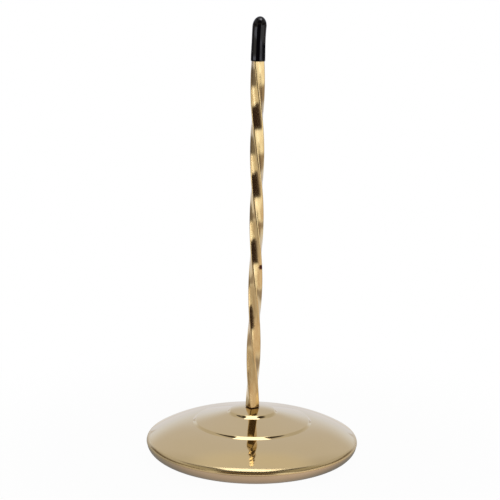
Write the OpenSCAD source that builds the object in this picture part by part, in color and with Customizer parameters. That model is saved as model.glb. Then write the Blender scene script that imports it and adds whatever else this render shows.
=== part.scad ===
// Bill spike: a twisted square bar with a capped point, bolted upright through a weighted, tiered round base.
// Millimetres, +Z up, front towards -Y, origin on the table under the middle of the base.

/* [Base] */
// Diameter of the base at its rim
base_d = 80; // [74:0.5:90]
// Height of the rim's widest line above the table
rim_h = 6.65; // [6:0.05:9]
// Rounding of the rim
rim_round = 2.1; // [1.4:0.1:3]
// Height of the plain skirt below the rim
skirt_h = 0.3; // [0.2:0.05:0.8]
// Diameter of the middle disc, to where its edge rounds over
mid_disc_d = 42.4; // [36:0.2:46]
// Drop from the middle disc to the outer slope
mid_step_h = 0.9; // [0.8:0.05:1.3]
// Diameter of the top disc, to where its edge rounds over
top_disc_d = 16; // [14:0.2:18]
// Drop from the top disc to the middle disc
top_step_h = 1.15; // [1:0.05:1.5]
// Diameter of the flat seat under the bar
seat_d = 6; // [6:0.1:8]
// Rounding of the middle disc's edge
mid_edge_round = 1; // [0.8:0.05:1.4]
// Rounding of the top disc's edge
top_edge_round = 1.6; // [0.8:0.05:2]
// Thickness of the brass sheet
sheet_t = 0.7; // [0.4:0.05:0.75]

/* [Slopes] */
// Slope of the outer tier at the rim, in degrees
rim_slope = 30.5; // [24:0.1:36]
// Slope of the rim where the skirt begins, in degrees
skirt_slope = 82; // [70:1:90]
// Slope of the outer tier where it meets the step, in degrees
outer_slope = 7; // [4:0.1:14]
// Slope of the middle disc at its edge, in degrees
mid_edge_slope = 14.4; // [13.6:0.1:18]
// Slope of the middle disc where it meets the small step, in degrees
mid_slope = 12.6; // [9:0.1:13.4]
// Slope of the top disc at its edge, in degrees
top_edge_slope = 13; // [6:0.1:16]
// Slope of the top disc beside the seat, in degrees
top_slope = 4; // [2:0.1:5.5]
// Steepest slope of the step round the middle disc, in degrees
mid_riser_slope = 44; // [38:1:50]
// Steepest slope of the step round the top disc, in degrees
top_riser_slope = 48; // [40:1:52]
// Slope at which both steps end in a crease, in degrees
crease_slope = 33; // [28:1:36]

/* [Underside] */
// Diameter of the pan's flat underside
foot_d = 62; // [56:0.2:68]
// How far the pan is set in behind the rim
seam_step = 0.15; // [0.1:0.05:0.4]
// Height of the lip that centres the pan in the dome
lip_h = 0.3; // [0.2:0.05:0.4]
// Diameter of the felt pad
felt_d = 58; // [40:0.5:62]
// Thickness of the felt pad
felt_t = 1; // [0.5:0.1:1.5]
// Diameter of the cast weight
weight_d = 70; // [56:0.5:70]
// Height of the bevel round the foot of the weight
weight_bevel = 2.5; // [2:0.1:3]

/* [Spike] */
// Side of the square bar
bar_side = 4; // [3.8:0.05:4.4]
// Rounding of the bar's long edges
bar_round = 0.5; // [0.1:0.05:0.6]
// Length of the bar from the seat to the shoulder under the cap
bar_len = 130.6; // [80:0.1:180]
// Height in which the bar makes one full left-handed turn
twist_lead = 100; // [60:1:200]
// Turn of the bar's square at the seat, in degrees
foot_turn = 34.5; // [0:0.5:90]
// Diameter of the turned neck inside the cap
neck_d = 3.6; // [2.6:0.05:3.7]
// Length of the turned neck
neck_len = 3; // [1:0.1:6]
// Length of the ground point
point_len = 11.2; // [6:0.1:16]
// Width left at the very tip
tip_d = 0.2; // [0.1:0.05:0.4]

/* [Cap] */
// Outside diameter of the cap
cap_d = 5.25; // [5:0.05:6]
// Length of the cap's rounded nose
nose_len = 3.5; // [2.5:0.1:4]
// Thickness of the nose at its tip
nose_wall = 1.2; // [0.8:0.1:1.8]
// Room between the point and the inside of the nose
tip_room = 0.7; // [0.4:0.1:1.5]

/* [Fastening] */
// Diameter of the threaded shank
shank_d = 3; // [2.5:0.1:3.4]
// Thread showing below the nut
thread_show = 0.5; // [0.2:0.1:1]
// Width of the nut across its flats
nut_af = 5.5; // [5.5:0.1:6.5]
// Height of the nut
nut_h = 2.4; // [2:0.1:2.6]
// Outside diameter of the flat washer
washer_d = 7; // [6.4:0.1:8]
// Thickness of the flat washer
washer_t = 0.5; // [0.3:0.1:0.8]
// Outside diameter of the spring washer
spring_d = 6.2; // [5.6:0.1:6.6]
// Thickness of the spring washer
spring_t = 0.8; // [0.5:0.1:1]
// Width of the spring washer's split
split_w = 0.6; // [0.3:0.1:1]
// Slant of the spring washer's split, in degrees
split_slant = 20; // [10:1:30]
// Room round the nut for a socket
tool_room = 2.2; // [2:0.1:2.6]

/* [Clearances] */
// Round the neck, inside the cap
cap_fit = 0.05; // [0.02:0.01:0.1]
// Round the shank, inside the nut's thread
thread_fit = 0.05; // [0.02:0.01:0.1]
// Round the shank, in every plain hole
hole_fit = 0.15; // [0.1:0.05:0.3]
// Round the pan's lip, inside the dome
lip_fit = 0.1; // [0.05:0.05:0.15]
// Between the weight and the sheet round it
weight_gap = 0.6; // [0.5:0.05:0.9]
// Between the shank's end and the felt
end_room = 0.4; // [0.2:0.1:1]

/* [Hidden] */
$fn = 96;

arc_steps = 6;
tier_steps = 10;
nose_steps = 10;
corner_steps = 3;
twist_per_slice = 4;
over = 1;

// A profile point is [radius, height, slope]. The slope is how far the surface's normal leans outwards from
// straight up.
function spread(from, to, steps) = [for (i = [1:steps]) from + (to - from) * i / steps];
function normal(slope) = [sin(slope), cos(slope)];
function flat_point(p) = [p[0], p[1]];
function inset(p, depth) = flat_point(p) - depth * normal(p[2]);
function at_slope(centre, r, slope) = concat(centre + r * normal(slope), [slope]);

// A tier is an arc whose slope grows from its inner to its outer radius.
function tier_radius(r_in, slope_in, r_out, slope_out) = (r_out - r_in) / (sin(slope_out) - sin(slope_in));
function tier_drop(r_in, slope_in, r_out, slope_out) =
    tier_radius(r_in, slope_in, r_out, slope_out) * (cos(slope_in) - cos(slope_out));
function tier(start, r_out, slope_out) =
    let (arc_r = tier_radius(start[0], start[2], r_out, slope_out),
         centre = inset(start, arc_r))
    [for (s = spread(start[2], slope_out, tier_steps)) at_slope(centre, arc_r, s)];

// A step is a rounded edge that turns straight into a cove, which ends in a crease. The cove's radius follows from
// the drop that is left.
function cove_r(drop, slope_above, riser, edge) =
    (drop - edge * (cos(slope_above) - cos(riser))) / (cos(crease_slope) - cos(riser));
function step_run(slope_above, riser, edge, cove) =
    edge * (sin(riser) - sin(slope_above)) + cove * (sin(riser) - sin(crease_slope));
function step_down(start, foot, riser, edge, cove) =
    let (edge_centre = inset(start, edge),
         cove_centre = flat_point(foot) + cove * normal(crease_slope))
    concat([for (s = spread(start[2], riser, arc_steps)) at_slope(edge_centre, edge, s)],
           [for (s = spread(riser, crease_slope, arc_steps)) at_slope(cove_centre, -cove, s)]);

// A quarter ellipse from straight below its centre out to its side.
function quarter(centre, half_w, half_h, steps) =
    [for (a = spread(0, 90, steps)) centre + [half_w * sin(a), -half_h * cos(a)]];

base_r = base_d / 2;
hole_r = shank_d / 2 + hole_fit;
seam_z = rim_h - skirt_h;

// The dome's profile, worked out from the rim upwards.
rim_start_r = base_r - rim_round * (sin(skirt_slope) - sin(rim_slope));
rim_start_z = rim_h + rim_round * (cos(rim_slope) - cos(skirt_slope));
mid_cove_r = cove_r(mid_step_h, mid_edge_slope, mid_riser_slope, mid_edge_round);
mid_foot_r = mid_disc_d / 2 + step_run(mid_edge_slope, mid_riser_slope, mid_edge_round, mid_cove_r);
mid_foot_z = rim_start_z + tier_drop(mid_foot_r, outer_slope, rim_start_r, rim_slope);
mid_edge_z = mid_foot_z + mid_step_h;
top_cove_r = cove_r(top_step_h, top_edge_slope, top_riser_slope, top_edge_round);
top_foot_r = top_disc_d / 2 + step_run(top_edge_slope, top_riser_slope, top_edge_round, top_cove_r);
top_foot_z = mid_edge_z + tier_drop(top_foot_r, mid_slope, mid_disc_d / 2, mid_edge_slope);
top_edge_z = top_foot_z + top_step_h;
seat_z = top_edge_z + tier_drop(seat_d / 2, top_slope, top_disc_d / 2, top_edge_slope);
seat_under_z = seat_z - sheet_t;

seat_edge = [seat_d / 2, seat_z, top_slope];
top_edge = [top_disc_d / 2, top_edge_z, top_edge_slope];
top_foot = [top_foot_r, top_foot_z, mid_slope];
mid_edge = [mid_disc_d / 2, mid_edge_z, mid_edge_slope];
mid_foot = [mid_foot_r, mid_foot_z, outer_slope];
outer_tier = tier(mid_foot, rim_start_r, rim_slope);
rim_start = [rim_start_r, rim_start_z, rim_slope];
rim_arc = [for (s = spread(rim_slope, skirt_slope, arc_steps)) at_slope(inset(rim_start, rim_round), rim_round, s)];
dome_profile = concat([seat_edge], tier(seat_edge, top_disc_d / 2, top_edge_slope),
                      step_down(top_edge, top_foot, top_riser_slope, top_edge_round, top_cove_r),
                      tier(top_foot, mid_disc_d / 2, mid_edge_slope),
                      step_down(mid_edge, mid_foot, mid_riser_slope, mid_edge_round, mid_cove_r),
                      outer_tier, rim_arc, [[base_r, seam_z, 90]]);

// The pan stands on the felt, and its raised middle makes room for the nut.
pan_z = felt_t;
pan_floor_z = pan_z + sheet_t;
foot_r = foot_d / 2;
pan_rim_r = base_r - seam_step;
lip_r = base_r - sheet_t - lip_fit;
lip_in_r = lip_r - sheet_t;
nut_corner_r = nut_af / 2 / cos(30);
recess_r = nut_corner_r + tool_room;
shank_end_z = pan_z + end_room;
nut_z = shank_end_z + thread_show;
spring_z = nut_z + nut_h;
washer_z = spring_z + spring_t;
recess_z = washer_z + washer_t;
recess_top_z = recess_z + sheet_t;

// The spike and its cap.
shoulder_z = seat_z + bar_len;
bar_turn = 360 * bar_len / twist_lead;
neck_r = neck_d / 2;
cap_r = cap_d / 2;
cap_bore_r = neck_r + cap_fit;
cap_depth = neck_len + point_len + tip_room;
cap_len = cap_depth + nose_wall;
nose_z = cap_len - nose_len;
inner_nose_len = nose_len - nose_wall;

// Square with rounded corners, as a list of points.
function rounded_square(side, r) =
    [for (corner = [0:3], i = [0:corner_steps])
        let (turn = 90 * corner, lean = turn + 90 * i / corner_steps,
             centre = (side / 2 - r) * sqrt(2) * [cos(turn + 45), sin(turn + 45)])
        centre + r * [cos(lean), sin(lean)]];

// Pressed dome with its steps, rim and skirt.
module base_shell() {
    outside = concat([[hole_r, seat_z]], [for (p = dome_profile) flat_point(p)]);
    inside = concat([[hole_r, seat_under_z]], [for (p = dome_profile) inset(p, sheet_t)]);
    color([0.78, 0.64, 0.34])
        rotate_extrude()
            polygon(concat(outside, [for (i = [len(inside) - 1:-1:0]) inside[i]]));
}

// Lower dish: raised middle, flat foot, turned-up side and a lip inside the dome's skirt.
module base_pan() {
    side = quarter([foot_r, seam_z], pan_rim_r - foot_r, seam_z - pan_z, tier_steps);
    inner_side = quarter([foot_r, seam_z], lip_in_r - foot_r, seam_z - pan_floor_z, tier_steps);
    outside = concat([[hole_r, recess_z], [recess_r, recess_z], [recess_r, pan_z], [foot_r, pan_z]], side);
    lip = [[lip_r, seam_z], [lip_r, seam_z + lip_h], [lip_in_r, seam_z + lip_h]];
    inside = concat([for (i = [len(inner_side) - 1:-1:0]) inner_side[i]],
                    [[foot_r, pan_floor_z], [recess_r + sheet_t, pan_floor_z],
                     [recess_r + sheet_t, recess_top_z], [hole_r, recess_top_z]]);
    color([0.69, 0.58, 0.42])
        rotate_extrude()
            polygon(concat(outside, lip, inside));
}

// Cast weight that fills the base: it carries the dome's seat and stands on the pan.
module ballast_weight() {
    weight_r = weight_d / 2;
    weight_foot_r = min(weight_r, foot_r - weight_gap);
    cover = sheet_t + weight_gap;
    boss_r = seat_d / 2 - sheet_t;
    under_top = inset(top_edge, cover);
    under_mid_in = inset(top_foot, cover);
    under_mid_out = inset(mid_edge, cover);
    under_outer = concat([inset(mid_foot, cover)], [for (p = outer_tier) inset(p, cover)]);
    top = concat([[hole_r, seat_under_z], [boss_r, seat_under_z], under_top, [under_top[0], under_mid_in[1]],
                  under_mid_in, under_mid_out, [under_mid_out[0], under_outer[0][1]]], under_outer);
    rim_end = under_outer[len(under_outer) - 1];
    bottom = [[rim_end[0], pan_floor_z], [recess_r + cover, pan_floor_z], [recess_r + cover, recess_top_z],
              [hole_r, recess_top_z]];
    color([0.24, 0.24, 0.25])
        intersection() {
            rotate_extrude()
                polygon(concat(top, bottom));
            union() {
                translate([0, 0, pan_floor_z])
                    cylinder(h = weight_bevel, r1 = weight_foot_r, r2 = weight_r);
                translate([0, 0, pan_floor_z + weight_bevel])
                    cylinder(h = seat_z, r = weight_r);
            }
        }
}

// Flat ring round the shank.
module ring(outer_d, thick) {
    difference() {
        cylinder(h = thick, d = outer_d);
        translate([0, 0, -over])
            cylinder(h = thick + 2 * over, r = hole_r);
    }
}

module flat_washer() {
    color([0.72, 0.73, 0.74])
        translate([0, 0, washer_z])
            ring(washer_d, washer_t);
}

// Spring washer, drawn flat with its slanted split, as it lies when the nut is tight.
module spring_washer() {
    color([0.5, 0.51, 0.53])
        translate([0, 0, spring_z])
            difference() {
                ring(spring_d, spring_t);
                translate([spring_d / 2, 0, spring_t / 2])
                    rotate([split_slant, 0, 0])
                        cube([spring_d, split_w, 4 * spring_t], center = true);
            }
}

// Hexagon nut with its corners chamfered at both ends.
module hex_nut() {
    chamfer_h = (nut_corner_r - nut_af / 2) * tan(30);
    color([0.72, 0.73, 0.74])
        translate([0, 0, nut_z])
            difference() {
                intersection() {
                    cylinder(h = nut_h, r = nut_corner_r, $fn = 6);
                    rotate_extrude()
                        polygon([[0, 0], [nut_af / 2, 0], [nut_corner_r, chamfer_h],
                                 [nut_corner_r, nut_h - chamfer_h], [nut_af / 2, nut_h], [0, nut_h]]);
                }
                translate([0, 0, -over])
                    cylinder(h = nut_h + 2 * over, r = shank_d / 2 + thread_fit);
            }
}

module felt_pad() {
    color([0.13, 0.2, 0.15])
        cylinder(h = felt_t, d = felt_d);
}

// Twisted bar, turned down to a threaded shank below the seat and to a neck and a ground point under the cap.
module spike() {
    color([0.82, 0.66, 0.34]) {
        translate([0, 0, seat_z])
            rotate([0, 0, foot_turn])
                linear_extrude(height = bar_len, twist = bar_turn, slices = ceil(bar_turn / twist_per_slice), $fn = 3)
                    polygon(rounded_square(bar_side, bar_round));
        translate([0, 0, shank_end_z])
            cylinder(h = seat_z + over - shank_end_z, d = shank_d);
        translate([0, 0, shoulder_z])
            rotate_extrude()
                polygon([[0, -over], [neck_r, -over], [neck_r, neck_len], [tip_d / 2, neck_len + point_len],
                         [0, neck_len + point_len]]);
    }
}

// Soft cap: a sleeve closed by a rounded nose, standing on the bar's shoulder.
module tip_cap() {
    outside = concat([[cap_bore_r, 0], [cap_r, 0], [cap_r, nose_z]],
                     [for (a = spread(0, 90, nose_steps)) [cap_r * cos(a), nose_z + nose_len * sin(a)]]);
    inside = concat([[0, cap_depth]],
                    [for (a = spread(90, 0, nose_steps)) [cap_bore_r * cos(a), nose_z + inner_nose_len * sin(a)]]);
    color([0.06, 0.06, 0.07])
        translate([0, 0, shoulder_z])
            rotate_extrude()
                polygon(concat(outside, inside));
}

base_shell();
base_pan();
ballast_weight();
flat_washer();
spring_washer();
hex_nut();
felt_pad();
spike();
tip_cap();
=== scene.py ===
# %% [markdown]
# # A bill spike in polished brass
#
# A bill spike keeps paper slips: each one is pushed down over the sharp point of an upright bar. This bar is
# square brass, twisted cold, with a soft black cap over its point, and it is bolted through a weighted,
# tiered base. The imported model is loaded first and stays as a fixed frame, so every piece below is made in
# place. The pieces' sizes are given in millimetres and become metres, Blender's unit, when a mesh is made.

# %% Load the frame
import math

import bpy
import numpy as np
from mathutils import Matrix


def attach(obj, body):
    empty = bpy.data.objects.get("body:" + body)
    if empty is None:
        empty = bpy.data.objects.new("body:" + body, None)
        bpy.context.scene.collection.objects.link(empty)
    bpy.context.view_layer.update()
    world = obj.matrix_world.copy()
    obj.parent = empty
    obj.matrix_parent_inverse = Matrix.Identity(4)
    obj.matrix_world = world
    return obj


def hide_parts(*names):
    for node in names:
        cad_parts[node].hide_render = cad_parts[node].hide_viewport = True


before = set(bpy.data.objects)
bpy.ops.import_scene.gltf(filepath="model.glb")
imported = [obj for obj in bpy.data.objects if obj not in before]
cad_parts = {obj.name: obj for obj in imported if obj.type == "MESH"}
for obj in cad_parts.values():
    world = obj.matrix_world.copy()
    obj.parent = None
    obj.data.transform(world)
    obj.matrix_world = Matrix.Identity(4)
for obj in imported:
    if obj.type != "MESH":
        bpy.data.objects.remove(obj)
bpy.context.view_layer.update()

MM = 0.001
scene = bpy.context.scene
scene.view_settings.view_transform = "Standard"

# %% [markdown]
# ## The camera
#
# The view comes before the pieces, so that each one can be judged as the photograph shows it. The base's rim
# and steps are circles seen at a slant, and how flat their ellipses look gives the camera's height. A long
# lens far off and a short lens near by differ little here, so a distance of 55 cm was taken and the other
# values follow from it. The base looks turned by two degrees and the bar by half a degree, so the camera is
# rolled by a value in between.

# %% Camera
VIEW_DISTANCE = 550 * MM
VIEW_HEIGHT = 193.5 * MM
VIEW_DOWN = math.radians(11.65)
VIEW_LEFT = math.radians(0.19)
VIEW_ROLL = math.radians(0.9)
FOCAL_PIXELS, IMAGE_PIXELS = 1512, 500
SENSOR_WIDTH = 36

camera_data = bpy.data.cameras.new("studio_camera")
camera_data.sensor_width = SENSOR_WIDTH
camera_data.lens = SENSOR_WIDTH * FOCAL_PIXELS / IMAGE_PIXELS
camera = bpy.data.objects.new("studio_camera", camera_data)
camera.matrix_world = (
    Matrix.Translation((0, -VIEW_DISTANCE, VIEW_HEIGHT))
    @ Matrix.Rotation(VIEW_LEFT, 4, "Z")
    @ Matrix.Rotation(math.pi / 2 - VIEW_DOWN, 4, "X")
    @ Matrix.Rotation(VIEW_ROLL, 4, "Z")
)
scene.collection.objects.link(camera)
scene.camera = camera
print(f"camera: {camera_data.lens:.1f} mm lens")

# %% [markdown]
# ## Skins over rings of points
#
# Every piece here is round or nearly so: a profile carried round an axis, or a section carried up a path.
# Blender's Screw modifier could make both kinds, but a grid of points, with rings as rows, can also be bowed,
# leaned or made uneven by a formula. One function turns such a grid into a closed mesh, with a UV map that
# runs round the ring and along the rows. The sharp edges are marked by angle, so the broad faces shade
# smoothly.

# %% From a grid of points to a closed mesh
SHARP_ANGLE = math.radians(18)


def skin(name, rings, ring_closes=False):
    """A mesh over rings[i, j]: vertex j of ring i joins j + 1 and ring i + 1. The last ring joins the first
    one where ring_closes is true, and otherwise a fan of triangles closes each end at the middle of its
    ring."""
    count, around = rings.shape[:2]
    vertices = rings.reshape(-1, 3)
    row = np.arange(count if ring_closes else count - 1)[:, None]
    column = np.arange(around)[None, :]
    after = (column + 1) % around
    above = (row + 1) % count
    corners = [row * around + column, row * around + after, above * around + after, above * around + column]
    quads = np.stack(corners, axis=-1).reshape(-1, 4)
    steps = np.linalg.norm(np.diff(rings, axis=0), axis=-1).mean(axis=1)
    along = np.concatenate([[0], np.cumsum(steps)])
    along = np.append(along, along[-1])[: count + 1] / along[-1]
    ones = np.ones_like(row * column)
    u = np.stack([ones * column, ones * (column + 1), ones * (column + 1), ones * column], axis=-1) / around
    lower, upper = along[row] * ones, along[row + 1] * ones
    v = np.stack([lower, lower, upper, upper], axis=-1)
    uv = np.stack([u, v], axis=-1).reshape(-1, 2)
    faces = quads.tolist()
    if not ring_closes:
        middles = rings[[0, -1]].mean(axis=1)
        vertices = np.concatenate([vertices, middles])
        first, last = count * around, count * around + 1
        ring = np.arange(around)
        following = (ring + 1) % around
        top = (count - 1) * around
        start_fan = np.stack([following, ring, np.full(around, first)], axis=-1)
        end_fan = np.stack([top + ring, top + following, np.full(around, last)], axis=-1)
        faces += start_fan.tolist() + end_fan.tolist()
        share = ring / around
        next_share = share + 1 / around
        start_u = np.stack([next_share, share, share], axis=-1)
        end_u = np.stack([share, next_share, share], axis=-1)
        start_uv = np.stack([start_u, np.zeros((around, 3))], axis=-1)
        end_uv = np.stack([end_u, np.ones((around, 3))], axis=-1)
        uv = np.concatenate([uv, start_uv.reshape(-1, 2), end_uv.reshape(-1, 2)])
    mesh = bpy.data.meshes.new(name)
    mesh.from_pydata(vertices, [], faces)
    mesh.uv_layers.new(name="round_and_along").data.foreach_set("uv", uv.astype(np.float32).ravel())
    mesh.shade_smooth()
    mesh.set_sharp_from_angle(angle=SHARP_ANGLE)
    mesh.validate()
    return mesh


def carried_round(profile, columns):
    """Rings of a surface of revolution: the point at radius r and height z goes round to (r cos angle, r sin
    angle, z), the angle running evenly through a full turn."""
    angle = np.arange(columns) * (2 * math.pi / columns)
    radius, height = profile[:, :1], profile[:, 1:]
    rings = [radius * np.cos(angle), radius * np.sin(angle), height + 0 * angle]
    return np.stack(rings, axis=-1)


def add_piece(name, mesh, body, node):
    """A new piece at the origin that rides on a body and stands for a CAD node, which it hides."""
    piece = bpy.data.objects.new(name, mesh)
    scene.collection.objects.link(piece)
    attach(piece, body)
    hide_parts(node)
    corners = np.array([corner[:] for corner in piece.bound_box]) / MM
    size = corners.max(axis=0) - corners.min(axis=0)
    print(f"{name}: {len(mesh.polygons)} faces, {size[0]:.2f} x {size[1]:.2f} x {size[2]:.2f} mm")
    return piece


# %% [markdown]
# ## The tiered dome
#
# The base is spun or pressed from brass sheet: a small disc on a middle disc on a broad outer slope, each a
# little domed, with a rounded rim. A profile drawn by hand could be carried round, but polished metal shows
# every error of its surface, so this profile is made of true arcs. They run smoothly from each disc over its
# edge and down the step, and each step ends in a crease. An arc's points are its centre plus its radius times
# the sine and cosine of the slope there. Lengths are in millimetres, slopes in degrees.

# %% Sizes of the dome
BASE_R = 40.0
RIM_HEIGHT = 6.65
RIM_ROUND = 2.1
SKIRT = 0.3
MIDDLE_R = 21.2
MIDDLE_DROP = 0.9
TOP_R = 8.0
TOP_DROP = 1.15
SEAT_R = 3.0
HOLE_R = 1.65
SHEET = 0.7
MIDDLE_EDGE_ROUND, TOP_EDGE_ROUND = 1.0, 1.6
SKIRT_SLOPE, RIM_SLOPE, OUTER_SLOPE = 82.0, 30.5, 7.0
MIDDLE_EDGE_SLOPE, MIDDLE_SLOPE = 14.4, 12.6
TOP_EDGE_SLOPE, TOP_SLOPE = 13.0, 4.0
MIDDLE_RISER, TOP_RISER, CREASE = 44.0, 48.0, 33.0
SEAM_HEIGHT = RIM_HEIGHT - SKIRT


def lean(slope):
    """The outward direction of a surface whose normal leans out by slope degrees: (sine, cosine)."""
    return np.stack([np.sin(np.radians(slope)), np.cos(np.radians(slope))], axis=-1)


def arc(start, slope_in, slope_out, radius, count):
    """Radius, height and slope along a circle's arc that begins at start: start plus the arc's radius times
    the change of (sine, cosine) of the slope. A negative radius gives a hollow cove."""
    slope = np.linspace(slope_in, slope_out, count + 1)[1:]
    points = np.asarray(start) + radius * (lean(slope) - lean(slope_in))
    return np.column_stack([points, slope])


def tier(start, slope_in, end_r, slope_out, count):
    """An arc from start out to the radius end_r, its slope growing on the way: its own radius is the run
    divided by the change of the slope's sine."""
    run = end_r - start[0]
    radius = run / (lean(slope_out)[0] - lean(slope_in)[0])
    return arc(start, slope_in, slope_out, radius, count)


def step(start, slope_in, drop, riser, edge_round, count):
    """A rounded edge that turns straight into a cove, which ends in a crease. The cove's radius is the drop
    that the edge leaves, divided by the change of the slope's cosine from the riser to the crease."""
    edge = arc(start, slope_in, riser, edge_round, count)
    left = drop - (start[1] - edge[-1, 1])
    cove_round = left / (lean(CREASE)[1] - lean(riser)[1])
    cove = arc(edge[-1, :2], riser, CREASE, -cove_round, count)
    return np.concatenate([edge, cove])


# %% The dome's profile, from its seat out to the rim
SEAT_EDGE = 0.2
TOP_POINTS, MIDDLE_POINTS, OUTER_POINTS, RIM_POINTS = 14, 18, 30, 18
SMALL_STEP_POINTS, LARGE_STEP_POINTS = 14, 16


def dome_profile():
    """Top disc, small step, middle disc, large step, outer slope, rim and skirt, joined end to end. It is
    worked out downwards from a seat at height nought, then lifted so that the foot of the rim is at its
    height."""
    seat = np.array([[HOLE_R, 0.0, 0.0], [SEAT_R - SEAT_EDGE, 0.0, 0.0], [SEAT_R, 0.0, TOP_SLOPE]])
    top = tier(seat[-1, :2], TOP_SLOPE, TOP_R, TOP_EDGE_SLOPE, TOP_POINTS)
    small_step = step(top[-1, :2], TOP_EDGE_SLOPE, TOP_DROP, TOP_RISER, TOP_EDGE_ROUND, SMALL_STEP_POINTS)
    middle = tier(small_step[-1, :2], MIDDLE_SLOPE, MIDDLE_R, MIDDLE_EDGE_SLOPE, MIDDLE_POINTS)
    large_step = step(middle[-1, :2], MIDDLE_EDGE_SLOPE, MIDDLE_DROP, MIDDLE_RISER, MIDDLE_EDGE_ROUND,
                      LARGE_STEP_POINTS)
    rim_run = RIM_ROUND * (lean(SKIRT_SLOPE)[0] - lean(RIM_SLOPE)[0])
    outer = tier(large_step[-1, :2], OUTER_SLOPE, BASE_R - rim_run, RIM_SLOPE, OUTER_POINTS)
    rim = arc(outer[-1, :2], RIM_SLOPE, SKIRT_SLOPE, RIM_ROUND, RIM_POINTS)
    skirt = [BASE_R, rim[-1, 1] - SKIRT, 90.0]
    profile = np.concatenate([seat, top, small_step, middle, large_step, outer, rim, [skirt]])
    profile[:, 1] += RIM_HEIGHT - rim[-1, 1]
    return profile


outside = dome_profile()
SEAT_HEIGHT = outside[0, 1]
print(f"profile of {len(outside)} points, seat {SEAT_HEIGHT:.2f} mm high")

# %% The dome as a thin shell
DOME_COLUMNS = 384
INSIDE_EVERY = 3

inside = outside[::INSIDE_EVERY, :2] - SHEET * lean(outside[::INSIDE_EVERY, 2])
skirt_inside = outside[-1, :2] - [SHEET, 0]
dome_loop = np.concatenate([outside[::-1, :2], inside, [skirt_inside]]) * MM
dome_mesh = skin("dome", carried_round(dome_loop, DOME_COLUMNS), ring_closes=True)
dome = add_piece("dome", dome_mesh, "stand", "base_shell")

# %% [markdown]
# ## The pan under the dome
#
# The base is closed from below by a shallow dish whose side turns up to meet the dome. Where the two sheets
# meet, the pan's edge is rounded over, and the fine groove that this leaves is the dark line under the rim. A
# round arc would make the side too deep for its width, so the side is a quarter of an ellipse. The middle is
# raised to make room for the nut.

# %% Pan
FELT_THICK = 1.0
FOOT_R = 31.0
PAN_R = 39.85
SEAM_ROUND = 0.2
LIP_R, LIP_IN_R = 39.2, 38.5
LIP_HEIGHT = 0.3
RECESS_R = 5.375
RECESS_HEIGHT = 5.6
PAN_COLUMNS = 384
SIDE_POINTS, SEAM_POINTS, INNER_POINTS = 36, 8, 16


def quarter(centre, half_width, half_height, count):
    """A quarter of an ellipse from straight below its centre out to its side: centre plus half the width
    times the sine and minus half the height times the cosine of an angle from 0 to 90 degrees."""
    angle = np.linspace(0, math.pi / 2, count)
    return np.column_stack([centre[0] + half_width * np.sin(angle), centre[1] - half_height * np.cos(angle)])


seam_low = SEAM_HEIGHT - SEAM_ROUND
side = quarter((FOOT_R, seam_low), PAN_R - FOOT_R, seam_low - FELT_THICK, SIDE_POINTS)
seam = arc((PAN_R, seam_low), 90, 0, SEAM_ROUND, SEAM_POINTS)[:, :2]
lip = [[LIP_R, SEAM_HEIGHT], [LIP_R, SEAM_HEIGHT + LIP_HEIGHT], [LIP_IN_R, SEAM_HEIGHT + LIP_HEIGHT]]
inner_height = SEAM_HEIGHT - FELT_THICK - SHEET
inner_side = quarter((FOOT_R, SEAM_HEIGHT), LIP_IN_R - FOOT_R, inner_height, INNER_POINTS)[::-1]
raised = [[RECESS_R + SHEET, FELT_THICK + SHEET], [RECESS_R + SHEET, RECESS_HEIGHT + SHEET],
          [HOLE_R, RECESS_HEIGHT + SHEET], [HOLE_R, RECESS_HEIGHT],
          [RECESS_R, RECESS_HEIGHT], [RECESS_R, FELT_THICK]]
pan_loop = np.concatenate([side, seam, lip, inner_side, raised]) * MM
pan_mesh = skin("pan", carried_round(pan_loop, PAN_COLUMNS), ring_closes=True)
pan = add_piece("pan", pan_mesh, "stand", "base_pan")

# %% [markdown]
# ## The twisted bar
#
# The bar is square stock with slightly rounded edges, twisted to the left by a quarter turn in every 25 mm. A
# Simple Deform modifier could twist a long box, but here the section itself, a rounded square, turns as it
# climbs, so that the bar is one grid: round the section and up the length. The same rings go on as the round
# shank below the seat and as the turned neck and ground point under the cap. Twisting never leaves a bar
# quite straight: it bows to the right by the squared sine of its climb.

# %% Section of the bar
BAR_HALF = 2.0
BAR_ROUND = 0.5
FLAT_COLUMNS = 16
CORNER_COLUMNS = 8


def rounded_square():
    """One side of the square from corner to corner, then a quarter circle, four times over, each a quarter
    turn on."""
    reach = BAR_HALF - BAR_ROUND
    flat = np.linspace(-reach, reach, FLAT_COLUMNS, endpoint=False)
    swing = np.linspace(0, math.pi / 2, CORNER_COLUMNS, endpoint=False)
    side = np.column_stack([0 * flat + BAR_HALF, flat])
    corner = reach + BAR_ROUND * np.column_stack([np.cos(swing), np.sin(swing)])
    quarter_turn = np.concatenate([side, corner])
    turns = np.arange(4)[:, None] * (math.pi / 2)
    x, y = quarter_turn[:, 0], quarter_turn[:, 1]
    across = x * np.cos(turns) - y * np.sin(turns)
    upward = x * np.sin(turns) + y * np.cos(turns)
    return np.column_stack([across.ravel(), upward.ravel()])


section = rounded_square()
print("section of", len(section), "points")

# %% Sizes of the spike and its turned outlines
FOOT_TURN = math.radians(34.5)
TWIST_LEAD = 100.0
BAR_LENGTH = 130.6
SHOULDER_HEIGHT = SEAT_HEIGHT + BAR_LENGTH
SHANK_R = 1.5
SHANK_END = 1.4
SHANK_CHAMFER = 0.2
NECK_R = 1.8
NECK_LENGTH = 3.0
NECK_EDGE = 0.02
POINT_LENGTH = 11.2
POINT_START = 0.1
TIP_R = 0.1
BOW = 0.45
FOOT_CHAMFER = 0.25
BAR_ROWS, POINT_ROWS = 620, 40


def round_ring(radius):
    """A circle with the section's own number of points, each in the same direction as the section's point."""
    return radius * section / np.linalg.norm(section, axis=1, keepdims=True)


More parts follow.
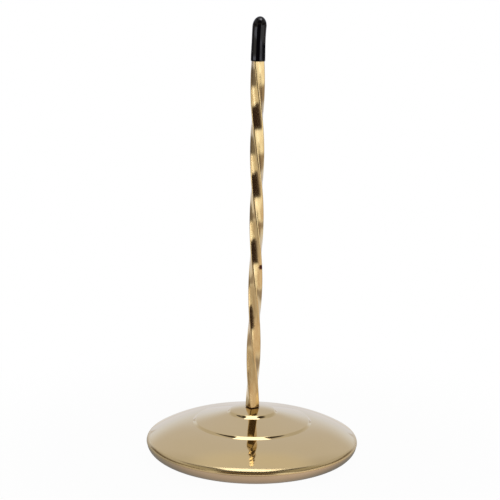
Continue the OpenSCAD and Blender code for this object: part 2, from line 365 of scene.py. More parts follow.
def bar_rings(heights, outline):
    """The outline turned about the axis by an angle that falls evenly with height, one full turn in each
    lead."""
    turn = FOOT_TURN - (heights - SEAT_HEIGHT) * (2 * math.pi / TWIST_LEAD)
    cosine, sine = np.cos(turn)[:, None], np.sin(turn)[:, None]
    x = outline[..., 0] * cosine - outline[..., 1] * sine
    y = outline[..., 0] * sine + outline[..., 1] * cosine
    return np.stack([x, y, heights[:, None] + 0 * x], axis=-1)


# %% The whole spike
bar_heights = np.linspace(SEAT_HEIGHT + FOOT_CHAMFER, SHOULDER_HEIGHT, BAR_ROWS)
shank_heights = np.array([SHANK_END, SHANK_END + SHANK_CHAMFER, SEAT_HEIGHT])
neck_heights = SHOULDER_HEIGHT + np.array([0, NECK_LENGTH, NECK_LENGTH + NECK_EDGE])
point_heights = SHOULDER_HEIGHT + NECK_LENGTH + np.linspace(POINT_START, POINT_LENGTH, POINT_ROWS)
point_share = (point_heights - SHOULDER_HEIGHT - NECK_LENGTH) / POINT_LENGTH
point_radius = NECK_R + (TIP_R - NECK_R) * point_share
shank = np.stack([round_ring(r) for r in (SHANK_R - SHANK_CHAMFER, SHANK_R, SHANK_R)])
neck = np.stack([round_ring(NECK_R)] * 3)
point = point_radius[:, None, None] * round_ring(1)
spike_rings = np.concatenate([
    bar_rings(shank_heights, shank),
    bar_rings(np.array([SEAT_HEIGHT]), section[None] * (1 - FOOT_CHAMFER / BAR_HALF)),
    bar_rings(bar_heights, np.broadcast_to(section, (BAR_ROWS, *section.shape))),
    bar_rings(neck_heights, neck),
    bar_rings(point_heights, point),
])
climb = np.clip((spike_rings[..., 2] - SEAT_HEIGHT) / BAR_LENGTH, 0, 1)
spike_rings[..., 0] += BOW * np.sin(math.pi * climb) ** 2
spike_mesh = skin("twisted_bar", spike_rings * MM)
spike = add_piece("twisted_bar", spike_mesh, "stand", "spike")

# %% [markdown]
# ## The black cap
#
# A soft vinyl sleeve covers the point. It was dipped, so its wall is not quite even: it is drawn in a little
# at its middle, flares at the mouth and leans at the nose. A cylinder and half a sphere could be joined, but
# one profile leaves no seam between them. It runs from inside the nose down the bore, round the mouth, up the
# outside and over the nose, and is carried round the axis. The lean grows with the square of height.

# %% Cap
CAP_R = 2.625
CAP_WAIST = 0.11
CAP_BORE_R = 1.85
CAP_LENGTH = 16.1
NOSE_LENGTH = 3.5
NOSE_WALL = 1.2
MOUTH_ROUND = 0.18
CAP_LEAN = 0.55
BORE_CHAMFER = 0.15
CAP_COLUMNS = 96
NOSE_POINTS, MOUTH_POINTS, SLEEVE_POINTS = 26, 7, 40

nose_base = CAP_LENGTH - NOSE_LENGTH
nose_angle = np.linspace(0, math.pi / 2, NOSE_POINTS)[:-1]
mouth_angle = np.linspace(-math.pi / 2, 0, MOUTH_POINTS)
sleeve_heights = np.linspace(MOUTH_ROUND, nose_base, SLEEVE_POINTS)
waist = CAP_WAIST * np.sin(math.pi * sleeve_heights / CAP_LENGTH) ** 2
inner_nose = np.column_stack([CAP_BORE_R * np.cos(nose_angle[::-1]),
                              nose_base + (NOSE_LENGTH - NOSE_WALL) * np.sin(nose_angle[::-1])])
bore_mouth = [[CAP_BORE_R, BORE_CHAMFER], [CAP_BORE_R + BORE_CHAMFER, 0.0]]
mouth = np.column_stack([CAP_R - MOUTH_ROUND + MOUTH_ROUND * np.cos(mouth_angle),
                         MOUTH_ROUND + MOUTH_ROUND * np.sin(mouth_angle)])
sleeve = np.column_stack([CAP_R - waist, sleeve_heights])[1:]
nose_r = sleeve[-1, 0]
nose = np.column_stack([nose_r * np.cos(nose_angle), nose_base + NOSE_LENGTH * np.sin(nose_angle)])[1:]
cap_profile = np.concatenate([inner_nose, bore_mouth, mouth, sleeve, nose])
cap_rings = carried_round(cap_profile, CAP_COLUMNS)
cap_rings[..., 0] += CAP_LEAN * (cap_rings[..., 2] / CAP_LENGTH) ** 2
cap_rings[..., 2] += SHOULDER_HEIGHT
cap_mesh = skin("cap", cap_rings * MM)
cap = add_piece("cap", cap_mesh, "cap", "tip_cap")

# %% [markdown]
# ## The felt under the base
#
# A glued disc of felt keeps the brass from scratching the desk. A flat cylinder would do for its size, but
# felt is cut with a knife and has no crisp edge, so the disc's side bulges softly and its faces are a little
# uneven. It is a profile carried round the axis, too, with a small height added by the mean of three waves in
# different directions.

# %% Felt
FELT_R = 29.0
FELT_UNEVEN = 0.03
FELT_WAVES = ((1.1, 0.4), (-0.9, 0.7), (0.3, 1.7))
FELT_MIDDLE = 0.5
FELT_COLUMNS = 192
FACE_POINTS, EDGE_POINTS = 30, 13

edge_angle = np.linspace(-math.pi / 2, math.pi / 2, EDGE_POINTS)
half_thick = FELT_THICK / 2
under_r = np.linspace(FELT_MIDDLE, FELT_R - half_thick, FACE_POINTS)[:-1]
under = np.column_stack([under_r, 0 * under_r])
bulge = np.column_stack([FELT_R - half_thick + half_thick * np.cos(edge_angle),
                         half_thick + half_thick * np.sin(edge_angle)])
over = np.column_stack([under_r[::-1], 0 * under_r + FELT_THICK])
felt_rings = carried_round(np.concatenate([under, bulge, over]), FELT_COLUMNS)
x, y = felt_rings[..., 0], felt_rings[..., 1]
wave = np.mean([np.sin(along_x * x + along_y * y) for along_x, along_y in FELT_WAVES], axis=0)
inward = 1 - 2 * felt_rings[..., 2] / FELT_THICK
felt_rings[..., 2] += FELT_UNEVEN * (1 + wave) / 2 * inward
felt_mesh = skin("felt", felt_rings * MM)
felt = add_piece("felt", felt_mesh, "stand", "felt_pad")

# %% [markdown]
# ## Shader maths
#
# A finish is a formula over the surface. Its nodes could be added and linked one by one, but a formula reads
# best as one. The class below wraps a node's socket: arithmetic on it adds Math nodes, and one method adds
# any other node. Nothing in it is special to this object.

# %% Sockets with arithmetic
class Wire:
    """One output socket of a node tree."""

    def __init__(self, tree, socket=None):
        self.tree = tree
        self.socket = socket

    def node(self, kind, settings=None, inputs=None, output=0):
        """Adds a node: its settings are set first, then each input gets its value or link."""
        made = self.tree.nodes.new(kind)
        for name, value in (settings or {}).items():
            if name == "stops":
                self.fill(made.color_ramp.elements, value)
            else:
                setattr(made, name, value)
        for name, value in (inputs or {}).items():
            if isinstance(value, Wire):
                self.tree.links.new(value.socket, made.inputs[name])
            else:
                made.inputs[name].default_value = value
        return Wire(self.tree, made.outputs[output] if made.outputs else None)

    def fill(self, elements, stops):
        """Gives a ramp its stops, the first at 0 and the last at 1."""
        for position, colour in stops[1:-1]:
            elements.new(position)
        for element, (position, colour) in zip(elements, stops):
            element.color = colour

    def other(self, output):
        """Another output of the same node."""
        return Wire(self.tree, self.socket.node.outputs[output])

    def sum(self, operation, first, second):
        """A Math node on two values."""
        return self.node("ShaderNodeMath", {"operation": operation}, {0: first, 1: second})

    def __add__(self, value):
        return self.sum("ADD", self, value)

    def __radd__(self, value):
        return self.sum("ADD", value, self)

    def __sub__(self, value):
        return self.sum("SUBTRACT", self, value)

    def __rsub__(self, value):
        return self.sum("SUBTRACT", value, self)

    def __mul__(self, value):
        return self.sum("MULTIPLY", self, value)

    def __rmul__(self, value):
        return self.sum("MULTIPLY", value, self)

    def __pow__(self, value):
        return self.sum("POWER", self, value)


# %% Helpers for finishes
MIX_A, MIX_B, MIX_COLOUR = 6, 7, 2


def rise(value, low, high):
    """0 below low, 1 above high, and a smooth step between them."""
    settings = {"interpolation_type": "SMOOTHSTEP"}
    return value.node("ShaderNodeMapRange", settings, {"Value": value, "From Min": low, "From Max": high})


def between(value, start, end):
    """1 between two soft ends, each given as its low and its high value, and 0 beyond them."""
    return rise(value, *start) * (1 - rise(value, *end))


def blend(share, first, second):
    """A colour between two others."""
    inputs = {0: share, MIX_A: first, MIX_B: second}
    return share.node("ShaderNodeMix", {"data_type": "RGBA"}, inputs, MIX_COLOUR)


def clouds(place, scale, detail=3.0, roughness=0.5):
    """Soft noise about one half."""
    inputs = {"Vector": place, "Scale": scale, "Detail": detail, "Roughness": roughness}
    return place.node("ShaderNodeTexNoise", {}, inputs)


def stretched(place, scale):
    """The place with each of its directions scaled."""
    return place.node("ShaderNodeVectorMath", {"operation": "MULTIPLY"}, {0: place, 1: scale})


def bump(height):
    """A surface raised by a height in metres."""
    return height.node("ShaderNodeBump", {}, {"Height": height, "Strength": 1.0, "Distance": 1.0})


def new_finish(name):
    """An empty material and the object's own coordinates in it."""
    material = bpy.data.materials.new(name)
    material.use_nodes = True
    material.node_tree.nodes.clear()
    return material, Wire(material.node_tree).node("ShaderNodeTexCoord", output="Object")


def surface(place, inputs):
    """Ends a finish with a Principled shader."""
    shader = place.node("ShaderNodeBsdfPrincipled", {}, inputs)
    place.node("ShaderNodeOutputMaterial", {}, {"Surface": shader})


def from_axis(place):
    """How far a point is from the upright axis."""
    x = place.node("ShaderNodeSeparateXYZ", {}, {0: place})
    y = x.other("Y")
    return (x * x + y * y) ** 0.5


# %% [markdown]
# ## Polished brass on the dome
#
# The dome was turned and then buffed, so it is nearly a mirror: yellow by its own reflectance, with the last
# turning lines left as rings too fine to see singly. Wiping has left areas that are slightly less bright, the
# corner round the bar's foot is darkened in patches with painted shade and is a little duller, and the rim is
# buffed less than the rest. Each of these could be painted on a texture, but a distance from the axis and
# some noise place them without a seam.

# %% Polished brass
BRASS = (0.87, 0.70, 0.40, 1)
BRASS_WARM = (0.83, 0.65, 0.35, 1)
# Painted shade: the dark colour of the corner round the bar's foot.
FOOT_SHADE_PAINT = (0.42, 0.29, 0.14, 1)
TURNED_FINE, TURNED_HEIGHT = 5200, 4e-7
WIPED_SCALE, FOOT_SHADE_SCALE = 55, 900
FOOT_SHADE_AREA = (2.3 * MM, 3.1 * MM)
FOOT_SHADE_PATCHES = (0.3, 0.6)
RIM_AREA = (38.2 * MM, 39.0 * MM)
BUFFED, WIPED_DULL, FOOT_CORNER_DULL, RIM_DULL = 0.03, 0.04, 0.2, 0.16


def rings_of(measure, fine, detail):
    """Noise in one dimension: all points of equal measure share one value, which gives rings round the
    axis."""
    inputs = {"W": measure, "Scale": fine, "Detail": detail}
    return measure.node("ShaderNodeTexNoise", {"noise_dimensions": "1D"}, inputs)


polished_brass, place = new_finish("polished_brass")
radius = from_axis(place)
turned = rings_of(radius, TURNED_FINE, 2.0)
wiped = clouds(place, WIPED_SCALE)
# The corner round the bar's foot, in patches: painted shade in the colour, and a little more roughness.
corner = (1 - rise(radius, *FOOT_SHADE_AREA)) * rise(clouds(place, FOOT_SHADE_SCALE), *FOOT_SHADE_PATCHES)
rim = rise(radius, *RIM_AREA)
surface(place, {
    "Base Color": blend(corner, blend(wiped, BRASS, BRASS_WARM), FOOT_SHADE_PAINT),
    "Metallic": 1.0,
    "Roughness": BUFFED + WIPED_DULL * wiped + FOOT_CORNER_DULL * corner + RIM_DULL * rim,
    "Normal": bump(turned * TURNED_HEIGHT),
})
dome.data.materials.append(polished_brass)
print("finish:", polished_brass.name)

# %% [markdown]
# ## Satin brass on the pan
#
# The pan was not buffed: it keeps the fine rings of the tool that formed it and has gone a little dull and
# pink. Rings could be modelled, but they are far finer than the mesh. They are a bump from a one-dimensional
# noise of the height and the distance from the axis.

# %% Satin brass
PAN_BRASS = (0.80, 0.65, 0.44, 1)
PAN_DULL = (0.68, 0.52, 0.36, 1)
TOOLED_FINE, TOOLED_HEIGHT = 4200, 3e-6
DULLED_SCALE = 90
SATIN, DULLED_MORE = 0.18, 0.12

satin_brass, place = new_finish("satin_brass")
height = place.node("ShaderNodeSeparateXYZ", {}, {0: place}, "Z")
tooled = rings_of(from_axis(place) + height, TOOLED_FINE, 3.0)
dulled = clouds(place, DULLED_SCALE)
surface(place, {
    "Base Color": blend(dulled, PAN_BRASS, PAN_DULL),
    "Metallic": 1.0,
    "Roughness": SATIN + DULLED_MORE * dulled,
    "Normal": bump(tooled * TOOLED_HEIGHT),
})
pan.data.materials.append(satin_brass)
print("finish:", satin_brass.name)

# %% [markdown]
# ## Drawn brass on the bar
#
# Bar stock is drawn through a die, which leaves fine lines along it, and twisting turns them into spirals.
# Noise in the object's own coordinates would run straight through the twist, so the lines follow the bar's UV
# map: noise that changes quickly round the section and slowly along it. Handling has left small brown specks
# of tarnish, and more ripples and brown on the lower half. A dark line round the foot, where the bar meets
# the dome, is painted shade.

# %% Tarnish, and painted shade round the bar's foot
BAR_BRASS = (0.90, 0.70, 0.36, 1)
BAR_BROWN = (0.80, 0.57, 0.27, 1)
TARNISH_AND_SHADE = (0.10, 0.025, 0.012, 1)
ARRIS_SPOT, ARRIS_SPOT_SIZE = (2.34 * MM, -1.20 * MM, 74.0 * MM), 1.2 * MM
FACE_SPOT, FACE_SPOT_SIZE = (-1.30 * MM, -1.90 * MM, 61.0 * MM), 0.5 * MM
RAGGED_SCALE = 1500
SPECK_CELLS, SPECK_SIZE = 190, (0.05, 0.11)
SPECKED_SCALE, SPECKED_PATCHES = 60, (0.56, 0.64)
# Painted shade: a dark line round the bar's foot, where it meets the dome.
BAR_FOOT_SHADE = ((SEAT_HEIGHT + 0.2) * MM, (SEAT_HEIGHT + 0.6) * MM)
BAR_FOOT_SHADE_SHARE = 0.9


def spot(place, centre, size):
    """A ragged round patch of about this size about a point: 1 within half of it, and noise stretches the
    distance."""
    ragged = 0.5 + clouds(place, RAGGED_SCALE)
    distance = place.node("ShaderNodeVectorMath", {"operation": "DISTANCE"}, {0: place, 1: centre}, "Value")
    return 1 - rise(distance * ragged, 0.5 * size, size)


bar_brass, place = new_finish("bar_brass")
bar_height = place.node("ShaderNodeSeparateXYZ", {}, {0: place}, "Z")
speck_cells = place.node("ShaderNodeTexVoronoi", {}, {"Vector": place, "Scale": SPECK_CELLS})
specks = (1 - rise(speck_cells, *SPECK_SIZE)) * rise(clouds(place, SPECKED_SCALE), *SPECKED_PATCHES)
spots = spot(place, ARRIS_SPOT, ARRIS_SPOT_SIZE) + spot(place, FACE_SPOT, FACE_SPOT_SIZE)
# Painted shade round the foot, added to the real tarnish: the bar is darkened where it meets the dome.
bar_foot_shade = 1 - rise(bar_height, *BAR_FOOT_SHADE)
all_tarnish_and_shade = specks + spots + BAR_FOOT_SHADE_SHARE * bar_foot_shade
tarnish_and_shade = place.node("ShaderNodeClamp", {}, {"Value": all_tarnish_and_shade})
print("tarnish:", len(bar_brass.node_tree.nodes), "nodes")

# %% Bar brass
DIE_LINES, STREAKS, WAVES, RIPPLES = (90, 3, 1), (22, 40, 1), (9, 12, 1), (16, 70, 1)
DIE_HEIGHT, WAVE_HEIGHT, RIPPLE_HEIGHT, RIPPLE_HANDLED = 1e-6, 4e-5, 4e-6, 1e-5
HANDLED_AREA = (0.03, 0.11)
HANDLED_BROWN = 0.12
BROWN_PATCHES = (0.4, 0.75)
DRAWN, DIE_DULL, STREAK_DULL, TARNISH_DULL = 0.10, 0.05, 0.05, 0.3

bar_skin = place.other("UV")
die_lines = clouds(stretched(bar_skin, DIE_LINES), 1.0, 2.0)
streaks = clouds(stretched(bar_skin, STREAKS), 1.0, 3.0, 0.6)
waves = clouds(stretched(bar_skin, WAVES), 1.0, 1.0)
ripples = clouds(stretched(bar_skin, RIPPLES), 1.0, 2.0)
handled = 1 - rise(bar_height, *HANDLED_AREA)
browned = rise(streaks + HANDLED_BROWN * handled, *BROWN_PATCHES)
rippled = ripples * (RIPPLE_HEIGHT + RIPPLE_HANDLED * handled)
surface(place, {
    "Base Color": blend(tarnish_and_shade, blend(browned, BAR_BRASS, BAR_BROWN), TARNISH_AND_SHADE),
    "Metallic": 1.0,
    "Roughness": DRAWN + DIE_DULL * die_lines + STREAK_DULL * streaks + TARNISH_DULL * tarnish_and_shade,
    "Normal": bump(die_lines * DIE_HEIGHT + waves * WAVE_HEIGHT + rippled),
})
spike.data.materials.append(bar_brass)
print("finish:", bar_brass.name)

# %% [markdown]
# ## Black vinyl on the cap
#
# Dipped vinyl is a glossy black with a skin that is slightly pebbled and carries a little dust. Its gloss is
# narrow but unsteady: the roughness is low, and two sizes of noise uneven the skin. A pale spot near the nose
# is a painted highlight, standing for the soft light's reflection there.

# %% Black vinyl
VINYL = (0.002, 0.002, 0.004, 1)
VINYL_DUST = (0.005, 0.005, 0.008, 1)
VINYL_HIGHLIGHT_PAINT = (0.30, 0.30, 0.32, 1)
# A painted highlight: a pale spot where the soft light would shine on the nose.
NOSE_HIGHLIGHT, NOSE_HIGHLIGHT_SIZE = (0.9 * MM, -1.7 * MM, (SHOULDER_HEIGHT + CAP_LENGTH - 1.0) * MM), 0.5 * MM
PEBBLE_SCALE, PEBBLE_HEIGHT = 2600, 2e-6
DENT_STRETCH, DENT_SCALE, DENT_HEIGHT = (1, 1, 0.4), 420, 2e-5
DUST_SCALE, DUST_PATCHES = 900, (0.55, 0.8)
VINYL_ROUGH, DENT_ROUGH = 0.05, 0.05
VINYL_GLOSS = 0.4

black_vinyl, place = new_finish("black_vinyl")
pebble = clouds(place, PEBBLE_SCALE, 2.0)
dents = clouds(stretched(place, DENT_STRETCH), DENT_SCALE, 2.0)
dust = rise(clouds(place, DUST_SCALE, 4.0, 0.7), *DUST_PATCHES)
# The nose's pale spot is a painted highlight.
surface(place, {
    "Base Color": blend(spot(place, NOSE_HIGHLIGHT, NOSE_HIGHLIGHT_SIZE), blend(dust, VINYL, VINYL_DUST), VINYL_HIGHLIGHT_PAINT),
    "Roughness": VINYL_ROUGH + DENT_ROUGH * dents,
    "Specular IOR Level": VINYL_GLOSS,
    "Normal": bump(pebble * PEBBLE_HEIGHT + dents * DENT_HEIGHT),
})
cap.data.materials.append(black_vinyl)
print("finish:", black_vinyl.name)

# %% [markdown]
# ## Green felt
#
# Felt is matted wool: no weave, only fibres in every direction, so its colour is mottled finely and its
# surface is rough all over. Hair could make the fuzz, but this face is rarely seen. A sheen gives the pale
# fuzz that shows at a slant.

# %% Green felt
FELT_DARK = (0.012, 0.035, 0.02, 1)
FELT_PALE = (0.035, 0.085, 0.05, 1)
FIBRE_SCALE, FIBRE_HEIGHT, FIBRE_SHARE = 2400, 1e-4, 0.6
MATTED_SCALE = 180

green_felt, place = new_finish("green_felt")
fibres = clouds(place, FIBRE_SCALE, 6.0, 0.75)
matted = clouds(place, MATTED_SCALE, 3.0)
surface(place, {
    "Base Color": blend(FIBRE_SHARE * fibres + (1 - FIBRE_SHARE) * matted, FELT_DARK, FELT_PALE),
    "Roughness": 0.95,
    "Sheen Weight": 0.4,
    "Sheen Roughness": 0.6,
    "Normal": bump(fibres * FIBRE_HEIGHT),
})
felt.data.materials.append(green_felt)
print("finish:", green_felt.name)

# %% [markdown]
# ## Finishes for the hidden metal
#
# The weight, the nut and the washers keep their CAD shapes, since nothing of them shows. They still get
# finishes, for whoever opens the base: sand-cast iron, bright zinc and dark spring steel. The three differ
# only in colour, roughness and grain, so one function makes them all.

# %% Cast iron, zinc and spring steel
FINER_GRAIN, GRAIN_HEIGHT = 6, 2e-5


def metal(name, colour, mottle, roughness, spread, grain):
    """A metal whose colour and roughness vary with one noise, with a bump from a finer one."""
    material, place = new_finish(name)
    mottled = clouds(place, grain)
    fine = clouds(place, FINER_GRAIN * grain, 4.0)
    surface(place, {
        "Base Color": blend(mottled, colour, mottle),
        "Metallic": 1.0,
        "Roughness": roughness + spread * mottled,
        "Normal": bump(fine * GRAIN_HEIGHT),
    })
    return material


cast_iron = metal("cast_weight", (0.09, 0.09, 0.095, 1), (0.05, 0.045, 0.045, 1),
                  roughness=0.55, spread=0.3, grain=300)
zinc = metal("zinc_steel", (0.66, 0.67, 0.69, 1), (0.5, 0.51, 0.54, 1),
             roughness=0.22, spread=0.2, grain=500)
spring_steel = metal("spring_steel", (0.34, 0.35, 0.37, 1), (0.22, 0.22, 0.24, 1),
                     roughness=0.3, spread=0.2, grain=500)
hidden = {"ballast_weight": cast_iron, "flat_washer": zinc, "hex_nut": zinc, "spring_washer": spring_steel}
for node_name, material in hidden.items():
    node_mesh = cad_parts[node_name].data
    node_mesh.materials.clear()
    node_mesh.materials.append(material)
print("hidden finishes:", sorted(hidden))

# %% [markdown]
# ## The table
#
# Polished metal shows the room it stands in, so the room is half of the finish. The table is pale and ends
# before the camera. The camera sees it as white, by Light Path, with the shadow of the base left in it. The
# metal sees it as a pale top in uneven light: darker to the left, bluer to the back, dim at both sides and
# dark where the base shades it.

# %% Table top
TABLE_SIDE = 0.45
TABLE_FRONT, TABLE_BACK = -0.24, 0.60

table_mesh = bpy.data.meshes.new("table")
across, deep = np.meshgrid([-TABLE_SIDE, TABLE_SIDE], [TABLE_FRONT, TABLE_BACK])
table_points = np.column_stack([across.ravel(), deep.ravel(), np.zeros(4)])
table_mesh.from_pydata(table_points, [], [[0, 1, 3, 2]])
table = bpy.data.objects.new("table", table_mesh)
scene.collection.objects.link(table)
print("table:", 2 * TABLE_SIDE, "by", TABLE_BACK - TABLE_FRONT, "m")

# %% The table's colours as the metal sees them, from left to right and from front to back
MIRRORED_LEFT = (0.52, 0.47, 0.44, 1)
MIRRORED_RIGHT = (0.76, 0.66, 0.60, 1)
MIRRORED_CLOSE = (0.82, 0.82, 0.86, 1)
MIRRORED_BEHIND = (0.78, 0.79, 0.87, 1)
MIRRORED_FAR = (0.76, 0.78, 0.89, 1)
LEFT_TO_RIGHT = (-0.06, 0.06)
CLOSE_FROM, BEHIND_FROM, FAR_FROM = (-0.02, 0.05), (0.10, 0.18), (0.20, 0.40)

pale_table, place = new_finish("pale_table")
table_x = place.node("ShaderNodeSeparateXYZ", {}, {0: place})
table_y = table_x.other("Y")
mirrored = blend(rise(table_x, *LEFT_TO_RIGHT), MIRRORED_LEFT, MIRRORED_RIGHT)
mirrored = blend(rise(table_y, *CLOSE_FROM), mirrored, MIRRORED_CLOSE)
mirrored = blend(rise(table_y, *BEHIND_FROM), mirrored, MIRRORED_BEHIND)
mirrored = blend(rise(table_y, *FAR_FROM), mirrored, MIRRORED_FAR)
print("table colours:", len(pale_table.node_tree.nodes), "nodes")

# %% The table's dim parts beside the base and under it
MIRRORED_ASIDE = (0.34, 0.30, 0.30, 1)
MIRRORED_UNDER = (0.24, 0.25, 0.26, 1)
ASIDE_FROM = (0.06 ** 2, 0.09 ** 2)
ASIDE_FRONT, ASIDE_BACK = (0.02, 0.06), (0.12, 0.17)
BESIDE_FROM, BESIDE_TO = (0.0018, 0.0026), (0.08 ** 2, 0.11 ** 2)
BESIDE_FRONT, BESIDE_BACK = (-0.06, -0.03), (0.05, 0.08)
BESIDE_LEFT, BESIDE_LESS, BESIDE_MIDDLE = 0.6, 0.35, (-0.01, 0.01)
UNDER_STRETCH, UNDER_TO = 0.45, (0.028, 0.045)

off_middle = table_x * table_x
aside = rise(off_middle, *ASIDE_FROM) * between(table_y, ASIDE_FRONT, ASIDE_BACK)
mirrored = blend(aside, mirrored, MIRRORED_ASIDE)
beside = between(off_middle, BESIDE_FROM, BESIDE_TO) * between(table_y, BESIDE_FRONT, BESIDE_BACK)
beside_share = BESIDE_LEFT - BESIDE_LESS * rise(table_x, *BESIDE_MIDDLE)
mirrored = blend(beside_share * beside, mirrored, MIRRORED_UNDER)
from_base = (UNDER_STRETCH * off_middle + table_y * table_y) ** 0.5
mirrored = blend(rise(from_base, *UNDER_TO), MIRRORED_UNDER, mirrored)
print("with dim parts:", len(pale_table.node_tree.nodes), "nodes")

# %% The table's look to the camera, to the metal and to all other rays
TABLE_GREY = (0.62, 0.61, 0.60, 1)
WHITE = (1, 1, 1, 1)
MIRRORED_SHARE = 0.85
SHADOW_AREA = (0.06, 0.16)
SHADOW_SHARE = 0.03


def kinds_of_ray(place):
    """1 for a ray from the camera, and 1 for a ray that a mirror or a glass sends on."""
    camera_ray = place.node("ShaderNodeLightPath", output="Is Camera Ray")
    return camera_ray, camera_ray.other("Is Glossy Ray") + camera_ray.other("Is Transmission Ray")


camera_ray, mirror_ray = kinds_of_ray(place)
in_shadow = 1 - rise(from_axis(place), *SHADOW_AREA)
white_share = camera_ray * (1 - SHADOW_SHARE * in_shadow) + mirror_ray * MIRRORED_SHARE
plain = place.node("ShaderNodeBsdfDiffuse", {}, {"Color": TABLE_GREY})
shown = place.node("ShaderNodeEmission", {}, {"Color": blend(camera_ray, mirrored, WHITE), "Strength": 1.0})
table_look = place.node("ShaderNodeMixShader", {}, {0: white_share, 1: plain, 2: shown})
place.node("ShaderNodeOutputMaterial", {}, {"Surface": table_look})
table_mesh.materials.append(pale_table)
print("finish:", pale_table.name)

# %% [markdown]
# ## The room
#
# The reflections in the photograph look like those of a pale tent with its front open: the bar shows a dark
# room through that opening, and pale walls to both sides. Real walls could stand round the object, but
# polished metal shows little more than directions, so the room is the world's colour by direction. The angle
# round the axis is counted from the camera, to the right, and the height is the direction's own z. Ramps give
# the colours round the room at four heights, and soft steps lead from one ramp to the next. The camera itself
# sees plain white.

# %% Directions in the room
OPENING_SLANT, OPENING_SPREAD = 0.33, 0.6
SLANT_BACK = (-0.3, 0.1)

world = bpy.data.worlds.new("room")
world.use_nodes = True
world.node_tree.nodes.clear()
scene.world = world
look = Wire(world.node_tree).node("ShaderNodeTexCoord", output="Generated")
x = look.node("ShaderNodeSeparateXYZ", {}, {0: look})
y = x.other("Y")
z = x.other("Z")
below = z.sum("MINIMUM", z, 0) * (1 - rise(y, *SLANT_BACK))
slant = OPENING_SLANT * z.sum("ARCSINE", below, 0)
spread = 1 + OPENING_SPREAD * below
turn = 0.5 + (x.sum("ARCTAN2", x, -1 * y) * spread - slant) * (0.5 / math.pi)
print("directions:", len(world.node_tree.nodes), "nodes")

# %% Colours round the room
BACK_WALL, BACK_HIGH = (0.72, 0.78, 0.98, 1), (0.58, 0.57, 0.62, 1)
LEFT_GAP, LEFT_HIGH = (0.20, 0.18, 0.17, 1), (0.51, 0.49, 0.49, 1)
LEFT_WALL, RIGHT_WALL, WALL_HIGH = (0.72, 0.68, 0.60, 1), (1.06, 1.05, 1.02, 1), (0.36, 0.33, 0.27, 1)
OPENING, OPENING_LOW, OPENING_HIGH = (0.030, 0.017, 0.014, 1), (0.62, 0.55, 0.50, 1), (0.28, 0.19, 0.09, 1)
RIGHT_GAP, RIGHT_HIGH = (0.34, 0.28, 0.25, 1), (0.49, 0.47, 0.47, 1)
LEFT_LEVEL, RIGHT_LEVEL, GAP_LEVEL = (2.5, 2.5, 2.8, 1), (1.9, 1.9, 2.2, 1), (0.03, 0.03, 0.04, 1)
WALL_END, LEVEL_END, WALL_FADE = 82, 52, 14


def round_the_room(back, left_gap, left_wall, opening, right_wall, right_end, right_gap):
    """Colours by the angle from the camera, to the right, in degrees: back wall, left gap and wall, opening,
    right wall as far as its end, right gap, back wall."""
    angles = ((-180, back), (-146, back), (-130, left_gap), (-90, left_gap),
              (-76, left_wall), (-38, left_wall), (-32, opening), (24, opening),
              (30, right_wall), (right_end, right_wall), (right_end + WALL_FADE, right_gap),
              (130, right_gap), (146, back), (180, back))
    stops = [(degrees / 360 + 0.5, colour) for degrees, colour in angles]
    return look.node("ShaderNodeValToRGB", {"stops": stops}, {0: turn})


floor_walls = round_the_room(BACK_WALL, LEFT_GAP, LEFT_WALL, OPENING_LOW, RIGHT_WALL, WALL_END, RIGHT_GAP)
low_walls = round_the_room(BACK_WALL, LEFT_GAP, LEFT_WALL, OPENING, RIGHT_WALL, WALL_END, RIGHT_GAP)
level_walls = round_the_room(GAP_LEVEL, GAP_LEVEL, LEFT_LEVEL, OPENING, RIGHT_LEVEL, LEVEL_END, GAP_LEVEL)
high_walls = round_the_room(BACK_HIGH, LEFT_HIGH, WALL_HIGH, OPENING_HIGH, WALL_HIGH, WALL_END, RIGHT_HIGH)
print("with ramps:", len(world.node_tree.nodes), "nodes")

# %% Walls from the floor up
BACK_ASIDE, BACK_LOW = (0.58, 0.57, 0.63, 1), (0.75, 0.79, 0.95, 1)
SIDE_GAP = (0.14, 0.11, 0.08, 1)
LEFT_LIFT, RIGHT_DROP, SIDEWAYS = 0.03, 0.15, (0.4, 0.7)
FLOOR_TO, HIGH_FROM = (-0.30, -0.265), (0.15, 0.45)
LEVEL_FROM, LEVEL_TO = (-0.082, -0.074), (-0.052, -0.040)
ASIDE_BACKWARD, ASIDE_SIDEWAYS, ASIDE_TO = (0.7, 0.85), (0.078, 0.088), (0.11, 0.15)
LOW_BACKWARD, LOW_TO = (0.955, 0.985), (0.05, 0.14)
GAP_SIDEWAYS, GAP_FROM, GAP_TO = (0.4, 0.6), (0.04, 0.10), (0.25, 0.35)

side_lift = LEFT_LIFT * rise(-1 * x, *SIDEWAYS) - RIGHT_DROP * rise(x, *SIDEWAYS)
walls = blend(rise(z - side_lift, *HIGH_FROM), low_walls, high_walls)
walls = blend(rise(z, *FLOOR_TO), floor_walls, walls)
back_aside = (1 - rise(z, *ASIDE_TO)) * rise(y, *ASIDE_BACKWARD) * rise(x * x, *ASIDE_SIDEWAYS)
walls = blend(back_aside, walls, BACK_ASIDE)
walls = blend((1 - rise(z, *LOW_TO)) * rise(y, *LOW_BACKWARD), walls, BACK_LOW)
walls = blend(between(z, GAP_FROM, GAP_TO) * rise(x * x, *GAP_SIDEWAYS), walls, SIDE_GAP)
walls = blend(between(z, LEVEL_FROM, LEVEL_TO), walls, level_walls)
print("with walls:", len(world.node_tree.nodes), "nodes")

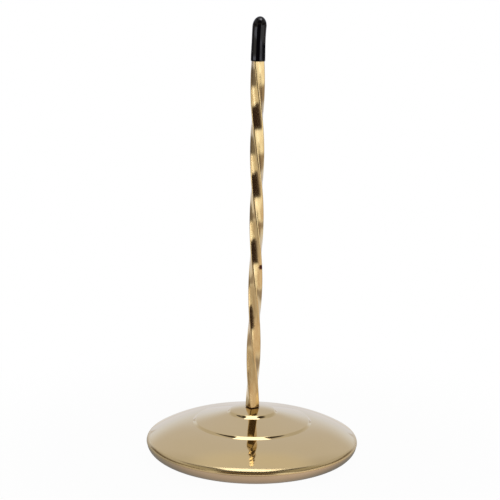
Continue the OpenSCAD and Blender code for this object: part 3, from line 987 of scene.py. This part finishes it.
# %% The tent's top, and the gap in it round the light
BACK_TOP, TOP_GAP = (0.63, 0.60, 0.58, 1), (0.05, 0.04, 0.035, 1)
BACK_TOP_FROM, BACK_TOP_BACKWARD = (0.75, 0.92), (0.08, 0.3)
LEFT_WALL_TOP, RIGHT_WALL_TOP, FRONT_TOP = 0.68, 0.81, 0.47
LEFT_WALL_STEP, STEP_FORWARD, STEP_SIDEWAYS = 0.16, (0.0, 0.1), (0.3, 0.5)
TOP_MIDDLE, FRONT_FORWARD = (-0.08, 0.08), (0.5, 0.65)
GAP_BACK, GAP_TILT, GAP_END = 0.68, 0.6, (0.14, 0.24)
TOP_EDGE = (-0.03, 0.03)

walls = blend(rise(z, *BACK_TOP_FROM) * rise(y, *BACK_TOP_BACKWARD), walls, BACK_TOP)
left_top = LEFT_WALL_TOP + LEFT_WALL_STEP * rise(-1 * y, *STEP_FORWARD) * rise(-1 * x, *STEP_SIDEWAYS)
side_top = left_top + (RIGHT_WALL_TOP - LEFT_WALL_TOP) * rise(x, *TOP_MIDDLE)
wall_top = side_top + (FRONT_TOP - side_top) * rise(-1 * y, *FRONT_FORWARD)
in_front = 1 - rise(y + GAP_TILT * (z - GAP_BACK), *GAP_END)
walls = blend(rise(z - wall_top, *TOP_EDGE) * in_front, walls, TOP_GAP)
print("with top:", len(world.node_tree.nodes), "nodes")

# %% The room's look to the camera, to the metal and to all other rays
PLAIN_LIGHT = (0.5, 0.5, 0.5, 1)

camera_ray, mirror_ray = kinds_of_ray(look)
seen = blend(camera_ray, blend(mirror_ray, PLAIN_LIGHT, walls), WHITE)
room = look.node("ShaderNodeBackground", {}, {"Color": seen, "Strength": 1.0})
look.node("ShaderNodeOutputWorld", {}, {"Surface": room})
print("room:", len(world.node_tree.nodes), "nodes")

# %% [markdown]
# ## The light
#
# One broad soft light hangs over the object, a little to the front. It draws the bright crescents on the two
# steps and on the rim. It could be a bright patch of the room's colour, but a lamp also throws the faint
# shadow. Its power is its brightness times its area times pi.

# %% Soft light
LIGHT_WIDTH, LIGHT_DEPTH = 0.60, 0.61
LIGHT_PLACE = (-0.02, -0.165, 1.0)
LIGHT_TURN = math.radians(-5)
LIGHT_BRIGHTNESS = 1.7

light_data = bpy.data.lights.new("soft_light", "AREA")
light_data.shape = "RECTANGLE"
light_data.size = LIGHT_WIDTH
light_data.size_y = LIGHT_DEPTH
light_data.energy = LIGHT_BRIGHTNESS * LIGHT_WIDTH * LIGHT_DEPTH * math.pi
light = bpy.data.objects.new("soft_light", light_data)
light.location = LIGHT_PLACE
light.rotation_euler.z = LIGHT_TURN
scene.collection.objects.link(light)
print(f"light: {light_data.energy:.2f} W")
